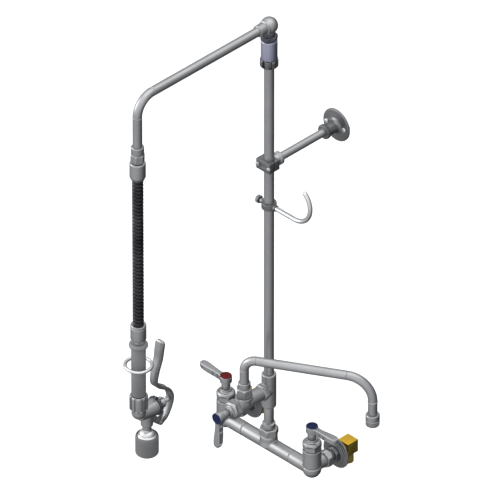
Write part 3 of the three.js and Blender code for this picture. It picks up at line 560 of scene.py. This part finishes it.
def paddle():
    """The blade of a lever handle along +X: a waist, a wide round end and panels sunk into both sides."""
    shape = [(5, 7.6, 35.6, 46.4), (9, 6.2, 35.4, 46.5), (14, 5.3, 35.3, 46.7), (20, 5.2, 35.5, 47.0),
             (27, 5.7, 35.9, 47.4), (34, 6.4, 36.5, 47.9), (42, 7.1, 37.4, 48.4), (48, 7.3, 38.2, 48.7),
             (52, 7.0, 39.0, 48.9), (55, 6.2, 40.0, 48.9), (57, 4.8, 41.2, 48.6), (58.4, 2.9, 42.6, 48.0),
             (59, 1.2, 44.0, 47.0)]
    panels = [(10, 17.5), (19.5, 28.5), (30.5, 52)]
    stations = [5 + 0.75 * k for k in range(67)] + [56, 57, 57.8, 58.4, 58.8, 59]
    seg = 72
    verts, rows = [], []
    for x in stations:
        half, low, high = mix(shape, x)
        mid, tall = (low + high) / 2, (high - low) / 2
        inside = max(min((x - a) / 0.9, (b - x) / 0.9, 1.0) for a, b in panels)
        rows.append([])
        for i in range(seg):
            c, s = cos(2 * pi * i / seg), sin(2 * pi * i / seg)
            u = half * abs(c) ** 0.26 * (1 if c >= 0 else -1)
            v = tall * abs(s) ** 0.4 * (1 if s >= 0 else -1)
            if inside > 0 and abs(v) < tall * 0.72 and abs(u) > half * 0.7:
                u -= (1 if u > 0 else -1) * 2.3 * min(1.0, inside)
            rows[-1].append(len(verts))
            verts.append((x, u, mid + v))
    faces = [(a[i], b[i], b[(i + 1) % seg], a[(i + 1) % seg]) for a, b in zip(rows, rows[1:])
             for i in range(seg)]
    faces += [tuple(rows[0]), tuple(reversed(rows[-1]))]
    return verts, faces


def build_supply(name, x):
    def lay(shape):
        return along_y(shape, (x, 0, SUPPLY_Z))

    piece(f"{name}_union_nut", lay(hex_nut(28.7, -32.4, -20.5, 12.3, pi / 6, crown=4)), CHROME, "base",
          f"{name}_coupling_nut")
    barrel = turned(soften([(0, -24.7), (11, -24.7), (11, -13), (0, -13)], 0.4), 72)
    flange = turned(soften([(0, -6.4), (17, -6.4), (18, -5.2), (20.5, -5.0), (21, -3.8), (24, -3.6),
                            (24.6, -2.8), (27.8, -2.6), (28.4, -2.2), (29, -1.6), (29, 0), (10.2, 0),
                            (10, 17.4), (0, 17.4)], 0.5), 96)
    piece(f"{name}_flanged_adapter", lay(joined(barrel, hex_nut(27, -14, -5.6, 0, pi / 6), flange)),
          DARK_CHROME, "base", f"{name}_flange_adapter")
    piece(f"{name}_back_nut", lay(hex_nut(27, 5, 12, 10.3, pi / 6)), BRASS, "base",
          f"{name}_lock_nut")
    half = 12.25
    cube = moved(block((-half, -half, -half), (half, half, half)), (x, ELBOW_Y, SUPPLY_Z))
    piece(f"{name}_elbow_cube", cube, BRASS, "base", f"{name}_elbow", bevel=1.1)
    thread = [(7, -28), (9.0, -28)]
    z = -27.4
    while z < -11:
        thread += [(9.8, z), (9.1, z + 0.9)]
        z += 1.8
    thread += [(9.8, -9.6), (9.8, -8), (7, -8)]
    piece(f"{name}_elbow_outlet", moved(turned(thread, 64), (x, ELBOW_Y, 0)), BRASS, "base")


def build_base():
    build_mixing_body()
    valve_trim("hot", "hot_lever", RED,
               lambda s: moved(s, (-INLET_X, RISER_Y, RIM_Z), (-1, 0, 0), (0, -1, 0)))
    valve_trim("cold", "cold_lever", BLUE, lambda s: moved(s, (INLET_X, RISER_Y, RIM_Z)))
    valve_trim("addon", "addon_lever", BLUE,
               lambda s: moved(s, (0, ADDON_FRONT, ADDON_Z), (0, 0, -1), (1, 0, 0), (0, -1, 0)))
    for name, x in (("hot", -INLET_X), ("cold", INLET_X)):
        build_supply(name, x)
    foot = (0, RISER_Y, 0)
    piece("riser_union_nut", moved(hex_nut(29.4, 20, 33.4, 8.8, 0, crown=5), foot), CHROME, "base",
          "riser_nut")
    r = RISER_R
    nipple = soften([(0, 22), (r, 22), (r, 33.7), (11.2, 33.7), (11.2, 43.2), (8.8, 44), (7.7, 44.4),
                     (7.7, 45.6), (r, 46), (r, 75), (7.6, 75.4), (7.6, 76.9), (r, 77.2), (r, 84), (0, 84)],
                    0.3)
    piece("riser_nipple_tube", moved(turned(nipple, 72), foot), CHROME, "base", "riser_nipple")


# ------------------------------------------------------------------ add-on faucet and swing nozzle
def build_addon():
    z = ADDON_Z
    tee = soften([(0, 77), (10.6, 77), (12.5, 79), (12.5, 142.6), (11.4, 144), (0, 144)], 0.8)
    barrel = soften([(0, 0), (12.5, 0), (12.5, 60), (0, 60)], 0.5)
    chamber = soften([(0, 0), (14.5, 0), (14.5, 16), (12.5, 20), (0, 20)], 0.6)
    boss = soften([(0, 0), (12, 0), (12, 8), (15, 10), (15, 14.5), (0, 14.5)], 0.5)
    shapes = [
        moved(turned(tee, 96), (0, RISER_Y, 0)),
        along_y(turned(barrel, 96), (0, RISER_Y - 60, z)),
        along_y(turned(chamber, 96), (0, ADDON_FRONT, z)),
        moved(turned(boss, 96), (0, NOZZLE_Y, z)),
        along_y(hex_nut(27.6, -20, -11, 0, 0), (0, RISER_Y, z)),
    ]
    piece("addon_tee_casting", joined(*shapes), CAST, "base", "addon_body", cast=0.5)

    build_nozzle()


def build_nozzle():
    at = (0, NOZZLE_Y, 0)
    collar = turned(soften([(8.2, 143.6), (10.6, 143.6), (10.6, 154.4), (9.8, 155.3), (8.2, 155.3)], 0.4), 72)
    nut = hex_nut(25.4, 127.3, 144.3, 8.2, radians(15), crown=4.5)
    piece("nozzle_packing_nut", moved(joined(nut, collar), at), CHROME, "base", "nozzle_nut")

    turn, reach, top = radians(30), 221, 201.6
    end = (reach * cos(turn), NOZZLE_Y + reach * sin(turn))
    start, corner, far = (0, NOZZLE_Y, top), (*end, top), (*end, 125)
    foot = (0, NOZZLE_Y, 124.1)
    first = bend(foot, start, corner, 21, 20)
    last = bend(start, corner, far, 44, 28)
    route = straight(foot, first[0], 10)[:-1] + first + straight(first[-1], last[0], 20)[1:-1] + last
    route += straight(last[-1], far, 6)[1:]
    ends = [route.index(p) for p in (first[0], first[-1], last[0], last[-1])]
    piece("nozzle_swing_tube", rod(route, TUBE_R, 48, ends), TUBE, "nozzle", "nozzle_tube")

    band = turned(soften([(7.9, 154), (8.5, 154.4), (8.5, 156), (7.9, 156.4)], 0.2), 64)
    rows = soften([(8.2, 131), (10.8, 131), (11.9, 129.6), (11.9, 121.5)], 0.4)
    rows += soften([(11.2, 121.2), (11.2, 119.6), (11.9, 119.2), (11.9, 110.4), (10.6, 109), (8.6, 109),
                    (8.6, 124)], 0.3)
    barrel = turned(rows, 144, notches(24, 0.9, 0.34, beyond=11.4, high=119.3))
    piece("outlet_collar", moved(joined(barrel, band), (*end, 0)), CHROME, "nozzle", "outlet_housing",
          angle=28)
    screen = soften([(0, 106), (6.2, 106), (7.4, 107.4), (8.4, 109.4), (8.4, 117), (0, 117)], 0.4)
    holes = [moved(turned([(0, 104), (0.95, 104), (0.95, 109), (0, 109)], 12), (r * cos(a), r * sin(a), 0))
             for r, n in ((2.2, 5), (4.7, 10)) for a in (2 * pi * i / n for i in range(n))]
    piece("outlet_screen", moved(turned(screen, 64), (*end, 0)), STEEL, "nozzle", "stream_former",
          cut=[moved(h, (*end, 0)) for h in holes])


# ------------------------------------------------------------------ riser, bracket and hook
def screw_head(r, depth, slot_width, shank=0.2):
    """A domed screw head about Z and the block that cuts its slot."""
    seat = 0.7
    dome = [(0, -shank), (2.1, -shank), (2.1, 0), (r, 0), (r, seat)]
    dome += [(r * cos(radians(a)), seat + depth * sin(radians(a))) for a in range(12, 90, 12)]
    slot = block((-r - 1, -slot_width / 2, seat + depth * 0.45), (r + 1, slot_width / 2, depth + 3))
    return turned(dome + [(0, seat + depth)], 48), slot


def facing_front(shape, at):
    """A shape built about Z turned to face -Y."""
    return moved(shape, at, (1, 0, 0), (0, 0, 1), (0, -1, 0))


def build_riser():
    r = RISER_R
    pipe = turned([(0, 140), (r, 140), (r, 143.8), (7.6, 144.1), (7.6, 145.2), (r, 145.6), (r, 400),
                   (r, 766), (7.6, 766.4), (7.6, 768.2), (r, 768.6), (r, 788), (0, 788)], 72)
    piece("riser_tube", moved(pipe, (0, RISER_Y, 0)), TUBE, "base", "riser_pipe")


def build_clamp():
    centre = (0, RISER_Y, CLAMP_Z)
    bore = turned([(0, -30), (8.85, -30), (8.85, 30), (0, 30)], 64)
    front = block((-16.9, -13.5, -9.5), (14.1, -0.6, 9.5))
    groove = block((-7, -20, -3.2), (5, -12.5, 3.2))
    piece("clamp_front_jaw", moved(front, centre), DARK_CHROME, "base", "clamp_front", bevel=0.8,
          cut=[moved(bore, centre), moved(groove, centre)])
    rear = block((-16.9, 0.6, -9.5), (14.1, 10.5, 9.5))
    piece("clamp_rear_jaw", moved(rear, centre), DARK_CHROME, "base", "clamp_rear", bevel=0.8,
          cut=[moved(bore, centre)])
    socket = soften([(7.2, 10.2), (10.5, 10.2), (10.5, 18.6), (11.6, 19.6), (11.6, 24.6), (11, 25.4),
                     (7.2, 25.4)], 0.4)
    piece("clamp_pipe_socket", along_y(turned(socket, 72), centre), CHROME, "base")
    for name, x in (("left", -12.6), ("right", 12.6)):
        head, slot_cut = screw_head(4.2, 2.8, 1.1)
        spot = (x, RISER_Y - 13.5, CLAMP_Z)
        piece(f"clamp_screw_head_{name}", facing_front(head, spot), CHROME, "base", f"clamp_screw_{name}",
              cut=[facing_front(slot_cut, spot)])


def build_wall_bracket():
    centre = (0, RISER_Y, CLAMP_Z)
    r, wall = BRACKET_R, WALL_REACH
    pipe = turned([(0, 12), (r, 12), (r, 60), (r, 150), (0, 150)], 64)
    piece("bracket_tube", along_y(pipe, centre), TUBE, "base", "bracket_pipe")
    plate = [(0, wall - 33), (11.8, wall - 33), (12.6, wall - 32), (12.6, wall - 27), (10.6, wall - 26),
             (10.6, wall - 10), (11.6, wall - 7), (15, wall - 4.8), (28.8, wall - 3.8), (30, wall - 2.4),
             (30, wall), (0, wall)]
    flange = along_y(turned(soften(plate, 0.6), 96), centre)
    piece("bracket_wall_flange", flange, DARK_CHROME, "base", "wall_flange")
    edge = soften([(7.1, 127.4), (12.9, 127.4), (13.1, 128), (13.1, 132.2), (12.7, 132.8), (7.1, 132.8)], 0.4)
    ring = turned(edge, 96, lambda a, r, h: r - 0.35 * (sin(a * 40) > 0) if r > 12 else r)
    piece("bracket_lock_ring", along_y(ring, centre), DARKNUT, "base")
    slots = [block((-5.4, -0.5, 1.6), (5.4, 0.5, 6)), block((-0.5, -5.4, 1.6), (0.5, 5.4, 6))]
    for name, x in (("left", -20), ("right", 20)):
        head, _ = screw_head(4.6, 2.4, 1.0, 12.6)
        spot = (x, RISER_Y + wall - 4.6, CLAMP_Z)
        piece(f"wall_screw_head_{name}", facing_front(head, spot), STEEL, "base", f"wall_screw_{name}",
              cut=[facing_front(s, spot) for s in slots])


def build_hook():
    at = (0, RISER_Y, HOOK_Z)
    ring = turned(soften([(8.8, -5.5), (12.4, -5.5), (12.8, -5), (12.8, 5), (12.4, 5.5), (8.8, 5.5)], 0.5),
                  96)
    bosses = [along_x(turned(soften([(0, -18), (5, -18), (5, -11), (0, -11)], 0.5), 48)),
              along_x(turned(soften([(0, 11), (5.5, 11), (5.5, 17), (0, 17)], 0.5), 48))]
    piece("hook_clamp_ring", moved(joined(ring, *bosses), at), DARK_CHROME, "hook", "hook_ring")
    r, reach, curl = 4.0, 59.5, 36.3
    route = straight((13, 0, 0), (reach, 0, 0), 16)[:-1]
    arc = [(reach + curl * sin(a), 0, curl - curl * cos(a))
           for a in (radians(138) * k / 40 for k in range(41))]
    tail = (Vector(arc[-1]) - Vector(arc[-2])).normalized()
    nose = (0.8, 1.6, 2.4, 3.0, 3.5, 3.85)
    route += arc + [tuple(Vector(arc[-1]) + tail * d) for d in nose]
    body = len(route) - len(nose)

    def section(k, t):
        return circle(r * sqrt(max(0.02, 1 - (nose[k - body] / r) ** 2)) if k >= body else r, 40)

    piece("hook_bent_rod", moved(sweep(route, section), at), STEEL, "hook", "hook_rod")
    knob = soften([(0, -27), (6.2, -27), (7, -26.2), (7, -21.4), (6.2, -20.6), (3.2, -20.4), (3.2, -18.3),
                   (0, -18.3)], 0.4)
    fluted = turned(knob, 96, lambda a, r, h: r - 0.8 * max(0.0, cos(a * 8)) if r > 5.5 else r)
    piece("hook_thumb_knob", moved(along_x(fluted), at), DARK_CHROME, "hook_knob",
          "thumb_screw")


# ------------------------------------------------------------------ overhead swivel and arm
def build_swivel():
    at = (0, RISER_Y, 0)
    castle = soften([(8.8, 768), (14.4, 768), (15.4, 769), (15.4, 780.8), (14.4, 782), (8.8, 782)], 0.5)
    teeth = turned(castle, 144, notches(8, 3.6, 0.36, beyond=13.6, low=769.2))
    piece("swivel_castle_nut", moved(teeth, at), DARK_CHROME, "base", "swivel_lower_nut",
          angle=28)
    sleeve = soften([(0, 783), (13.4, 783), (13.9, 783.6), (13.9, 818.4), (13.2, 819.4), (0, 819.4)], 0.4)
    piece("swivel_sleeve", moved(turned(sleeve, 96), at), SWIVEL, "base", "swivel_housing")
    nut = joined(hex_nut(26, 820.3, 829, 9, 0, crown=3),
                 turned([(9, 828), (10.6, 828), (10.2, 831), (9, 831)], 72))
    piece("swivel_gland_nut", moved(nut, at), DARKNUT, "base", "swivel_top_nut")
    build_arm()


def build_arm():
    at = (0, RISER_Y, 0)
    zc, r = BALL_Z, BALL_R
    ball = [(r * cos(radians(a)), zc + r * sin(radians(a))) for a in range(-48, 91, 6)]
    stem = soften([(0, 826), (8.6, 826), (8.6, 832), (9.4, 834), ball[0]], 0.5)[:-1]
    stem += ball[:-1] + [(0, zc + r)]
    socket = soften([(0, 4), (12.4, 4), (12.4, 11), (9.6, 12), (9.6, 13.4), (10.6, 14), (10.6, 26.4),
                     (9.8, 27), (0, 27)], 0.4)
    horizontal = facing_front(turned(socket, 96), (0, 0, zc))
    piece("ball_elbow_casting", moved(joined(turned(stem, 96), horizontal), at), CAST, "arm", "ball_elbow",
          cast=0.4)
    a, corner, b = (0, RISER_Y - 15.3, zc), (0, ARM_Y, zc), (0, ARM_Y, 747)
    curve = bend(a, corner, b, 34, 28)
    mouth = (0, RISER_Y - 27.8, zc)
    route = [a, mouth] + straight((0, RISER_Y - 34, zc), curve[0], 30)[:-1] + curve
    route += straight(curve[-1], b, 8)[1:]
    ends = [route.index(p) for p in (mouth, curve[0], curve[-1])]
    piece("overhead_arm", rod(route, TUBE_R, 48, ends), TUBE, "arm", "arm_tube")
    sleeve = soften([(8.3, 740.6), (10.2, 740.6), (10.9, 741.6), (10.9, 754.2), (10, 755.4), (8.3, 755.4)],
                    0.4)
    adapter = turned(sleeve, 72)
    neck = turned(soften([(0, 722), (8.4, 722), (8.4, 727), (0, 727)], 0.3), 64)
    piece("hose_adapter_nut", moved(joined(adapter, hex_nut(21.2, 725.6, 740.6, 0, 0), neck), DROP), CHROME,
          "arm", "hose_adapter")
    ferrule = soften([(0, 689), (10.1, 689), (10.9, 690), (13.5, 695.8), (13.5, 700), (13.5, 721.6),
                      (12.6, 723.4), (10, 724), (0, 724)], 0.5)
    piece("hose_crimp_upper", moved(turned(ferrule, 96), DROP), CHROME, "arm", "hose_upper_ferrule")


# ------------------------------------------------------------------ spray valve
def build_spray():
    lower = soften([(0, 368), (11.8, 368), (13.3, 370), (13.3, 393), (12.7, 393.5), (12.7, 394.1),
                    (13.3, 394.6), (13.3, 397), (12.5, 398), (0, 398)], 0.35)
    base = turned(soften([(0, 361.8), (10, 361.8), (10, 364), (0, 364)], 0.3), 64)
    piece("hose_crimp_lower", moved(joined(turned(lower, 96), hex_nut(21, 362.4, 368, 0, 0), base), DROP),
          CHROME, "hanging", "hose_lower_ferrule")

    sleeve = [(0, 256.3), (12.0, 256.3), (12.35, 256.9), (12.35, 290), (12.35, 330), (12.35, 350),
              (12.4, 351.4)]
    sleeve += [(12.6 + 3.6 * cos(radians(a)), 356.4 + 4.4 * sin(radians(a))) for a in range(-72, 73, 9)]
    sleeve += [(12.2, 361.2), (0, 361.2)]
    piece("grip_sleeve", moved(turned(sleeve, 96), DROP), GRIP, "hanging", "grip")

    torus = [(22.4 + 2.9 * cos(radians(a)), 315.4 + 2.9 * sin(radians(a))) for a in range(0, 360, 15)]
    piece("hold_down_ring", moved(turned(torus, 96), DROP), STEEL, "ring", "hold_ring")

    nut = soften([(12.6, 226.4), (13.8, 226.4), (15.7, 228.6), (15.7, 252.6), (14.4, 255), (13.2, 255.6),
                  (12.6, 255.6)], 0.5)
    ribs = turned(nut, 192, notches(10, 2.5, 0.42, beyond=14.2))
    piece("spray_coupling_nut", moved(ribs, DROP), CHROME, "spray", "coupling_nut", angle=28)
    build_valve()
    build_lever()
    build_head()


def build_valve():
    zc = SPRAY_Z
    bowl = [(0, 206.7)] + [(12.3 * sin(radians(a)), 219 - 12.3 * cos(radians(a))) for a in range(8, 91, 8)]
    inlet = bowl + [(12.3, 224), (12.3, 240), (0, 240)]
    barrel = soften([(0, 0), (11, 0), (12.4, 12), (14.4, 25), (15.2, 30), (15.2, 36.2), (0, 36.2)], 0.8)
    stem = soften([(0, 176.3), (7.6, 176.3), (7.6, 183.6), (10.5, 184.6), (10.5, 205), (0, 205)], 0.6)
    lug = extrude([(22, 188), (22, 206), (36, 206), (36, 195.4), (50, 181.6), (52.6, 178.4), (53, 175.4),
                   (51.4, 172.6), (48.2, 171.6), (44.8, 172), (42.6, 173.4), (31, 184)], -3, 3)
    lug = moved(lug, (0, 0, 0), (0, 1, 0), (0, 0, 1), (1, 0, 0))
    shapes = [turned(inlet, 96), along_y(turned(barrel, 96), (0, 0, zc)),
              moved(turned(stem, 96), (0, SPRAY_OUT, 0)), lug]
    piece("spray_valve_casting", moved(joined(*shapes), DROP), CAST, "spray", "valve_body", cast=0.4)

    edge = soften([(8.6, 36.7), (16.4, 36.7), (17.3, 37.6), (17.3, 41.4), (16.4, 42.4), (8.6, 42.4)], 0.4)
    ring = turned(edge, 144, notches(14, 2.2, 0.4, beyond=15))
    piece("spray_valve_bonnet", moved(along_y(ring, (0, 0, zc)), DROP), DARKNUT, "spray", "valve_bonnet",
          angle=28)
    tube = soften([(4.4, 42), (11.6, 42), (11.6, 44), (10, 45.6), (10, 53.6), (9.2, 54.4), (9.2, 55.4),
                   (4.4, 55.4)], 0.4)
    piece("spray_valve_gland", moved(along_y(turned(tube, 72), (0, 0, zc)), DROP), STEEL, "spray")
    push = soften([(0, 50), (4.05, 50), (4.05, 61.4), (5.4, 62), (5.4, 66), (4.4, 67), (0, 67.3)], 0.4)
    piece("spray_plunger", moved(along_y(turned(push, 48), (0, 0, zc)), DROP), STEEL, "plunger",
          "valve_plunger")


def build_lever():
    """The squeeze lever: a channel-shaped bar on a forked foot, pinned to the valve's lug."""
    path = [(60.7, 183), (68, 196), (72.5, 210), (72, 222), (65, 235), (54, 244), (42.7, 251.6), (36.3, 260),
            (35.9, 271), (40, 288), (45.7, 305), (48, 320), (50.4, 333)]
    knots = [Vector((0, y, z)) for y, z in [(55.4, 178.2)] + path]
    line = []
    for i in range(len(knots) - 1):
        p0, p1, p2, p3 = knots[max(i - 1, 0)], knots[i], knots[i + 1], knots[min(i + 2, len(knots) - 1)]
        for k in range(6):
            t = k / 6
            line.append(0.5 * (2 * p1 + (p2 - p0) * t + (2 * p0 - 5 * p1 + 4 * p2 - p3) * t**2
                               + (3 * p1 - p0 - 3 * p2 + p3) * t**3))
    line.append(knots[-1])
    tip = (line[-1] - line[-2]).normalized()
    line += [line[-1] + tip * d for d in (1.4, 2.8, 4.0, 5.0, 5.8, 6.4, 6.8)]
    count = len(line)

    def section(k, t):
        half = 5.6 + 1.7 * min(1.0, t / 0.25) + 1.9 * min(1.0, max(0.0, (t - 0.60) / 0.25))
        thick = 3.1
        near = count - 1 - k
        if near < 8:
            half *= (0.30, 0.50, 0.66, 0.79, 0.89, 0.95, 0.98, 1.0)[near]
            thick *= (0.35, 0.62, 0.8, 0.9, 0.96, 1.0, 1.0, 1.0)[near]
        rim, deep = 2.0, (1.7 if 6 < k < count - 22 else 0.0)
        right = [(half - 1.1, -thick), (half - 0.3, -thick + 0.35), (half, -thick + 1.1), (half, thick - 1.1),
                 (half - 0.3, thick - 0.35), (half - 1.0, thick), (half - rim, thick),
                 (half - rim - 0.5, thick - deep)]
        return right + [(-u, v) for u, v in reversed(right)]

    bar = sweep([tuple(p) for p in line], section)
    ribs = []
    for k in range(20, count - 24, 7):
        p, t = line[k], (line[k + 1] - line[k - 1]).normalized()
        side = Vector((1, 0, 0))
        normal = t.cross(side)
        rib = block((-6, 1.0, -0.6), (6, 2.7, 0.6))
        ribs.append(moved(rib, tuple(p), tuple(side), tuple(normal), tuple(t)))
    cheeks = []
    for x0, x1 in ((-5.5, -3.4), (3.4, 5.5)):
        ends = [(PIN_OUT + 5.2 * cos(radians(a)), PIN_Z + 5.2 * sin(radians(a))) for a in range(120, 301, 15)]
        ends += [(61.6, 179.4), (66, 188), (59.5, 189)]
        cheek = extrude(ends, x0, x1)
        cheeks.append(moved(cheek, (0, 0, 0), (0, 1, 0), (0, 0, 1), (1, 0, 0)))
    piece("squeeze_lever_bar", moved(bar, DROP), CHROME, "trigger", "squeeze_lever", angle=40)
    piece("squeeze_lever_ribs", moved(joined(*ribs), DROP), CHROME, "trigger", bevel=0.25)
    piece("squeeze_lever_fork", moved(joined(*cheeks), DROP), CHROME, "trigger", bevel=0.5)
    pin = soften([(0, -6.6), (3.0, -6.6), (3.0, -5.6), (1.9, -5.6), (1.9, 5.6), (3.0, 5.6), (3.0, 6.6),
                  (0, 6.6)], 0.3)
    piece("squeeze_lever_pin", along_x(turned(pin, 40), (0, ARM_Y + PIN_OUT, PIN_Z)), STEEL, "spray",
          "lever_pin")


def build_head():
    at = (0, ARM_Y + SPRAY_OUT, 0)
    dome = [(13.7 * cos(radians(a)), 166.2 + 8.4 * sin(radians(a))) for a in range(0, 56, 6)]
    bell = soften([(0, 157), (17, 157), (17, 163.2), (15.2, 164.8), (13.7, 166.2)], 0.4)[:-1]
    bell += dome + [(7.9, 174.4), (7.6, 176.2), (0, 176.2)]
    piece("spray_head_dome", moved(turned(bell, 96), at), STEEL, "spray", "spray_bell")
    skin = soften([(15.2, 128.4), (15.6, 127), (17.8, 127), (19.7, 129.4), (19.7, 133), (19.7, 160.8),
                   (18.5, 164.2), (17.3, 165), (17.3, 156.7), (15.2, 156.7)], 0.6)
    piece("spray_head_bumper", moved(turned(skin, 128), at), RUBBER, "spray", "spray_bumper")
    plate = turned(soften([(0, 130), (14.9, 130), (14.9, 134), (0, 134)], 0.4), 96)
    holes = [moved(turned([(0, 128), (0.9, 128), (0.9, 133), (0, 133)], 12),
                   (at[0] + r * cos(a), at[1] + r * sin(a), 0)) for r, n in ((5, 6), (10.6, 12))
             for a in (2 * pi * i / n for i in range(n))]
    piece("spray_head_face", moved(plate, at), STEEL, "spray", "spray_face", cut=holes)


build_base()
build_addon()
build_riser()
build_clamp()
build_wall_bracket()
build_hook()
build_swivel()
build_spray()


# ------------------------------------------------------------------ stage
def build_stage():
    floor = raw("floor", extrude([(-9000, -9000), (9000, -9000), (9000, 9000), (-9000, 9000)], -708, -700))
    material, tree, shader, new = nodes_of("pale_floor")
    noise = new("ShaderNodeTexNoise", Scale=1.2, Detail=3.0)
    colour = ramp(new, (0.90, 0.90, 0.90), (0.93, 0.93, 0.93))
    tree.links.new(noise.outputs["Fac"], colour.inputs["Fac"])
    tree.links.new(colour.outputs["Color"], shader.inputs["Base Color"])
    shader.inputs["Roughness"].default_value = 0.9
    floor.data.materials.append(material)
    floor.visible_glossy = floor.visible_diffuse = False

    world = bpy.data.worlds.new("studio")
    bpy.context.scene.world = world
    world.use_nodes = True
    tree = world.node_tree
    background = tree.nodes["Background"]
    background.inputs["Color"].default_value = (0.97, 0.98, 1.0, 1)
    place = tree.nodes.new("ShaderNodeTexCoord")
    toward = tree.nodes.new("ShaderNodeVectorMath")
    toward.operation = "DOT_PRODUCT"
    toward.inputs[1].default_value = SOFT_SKY
    tree.links.new(place.outputs["Generated"], toward.inputs[0])
    spread = tree.nodes.new("ShaderNodeMapRange")
    spread.inputs["From Min"].default_value, spread.inputs["From Max"].default_value = -0.82, 1.0
    spread.inputs["To Min"].default_value, spread.inputs["To Max"].default_value = 0.04, 1.50
    tree.links.new(toward.outputs["Value"], spread.inputs["Value"])
    tree.links.new(spread.outputs["Result"], background.inputs["Strength"])

    def area(name, place, size, power):
        data = bpy.data.lights.new(name, "AREA")
        data.shape, data.size, data.size_y, data.energy = "RECTANGLE", size[0], size[1], power
        light = bpy.data.objects.new(name, data)
        bpy.context.scene.collection.objects.link(light)
        light.location = place
        aim = Vector((0, -0.15, 0.4)) - Vector(place)
        light.rotation_euler = aim.to_track_quat("-Z", "Y").to_euler()

    area("key", (-2.4, -2.2, 1.5), (1.6, 2.0), 46)
    area("top", (0.2, 0.4, 3.2), (3.2, 3.2), 34)


build_stage()
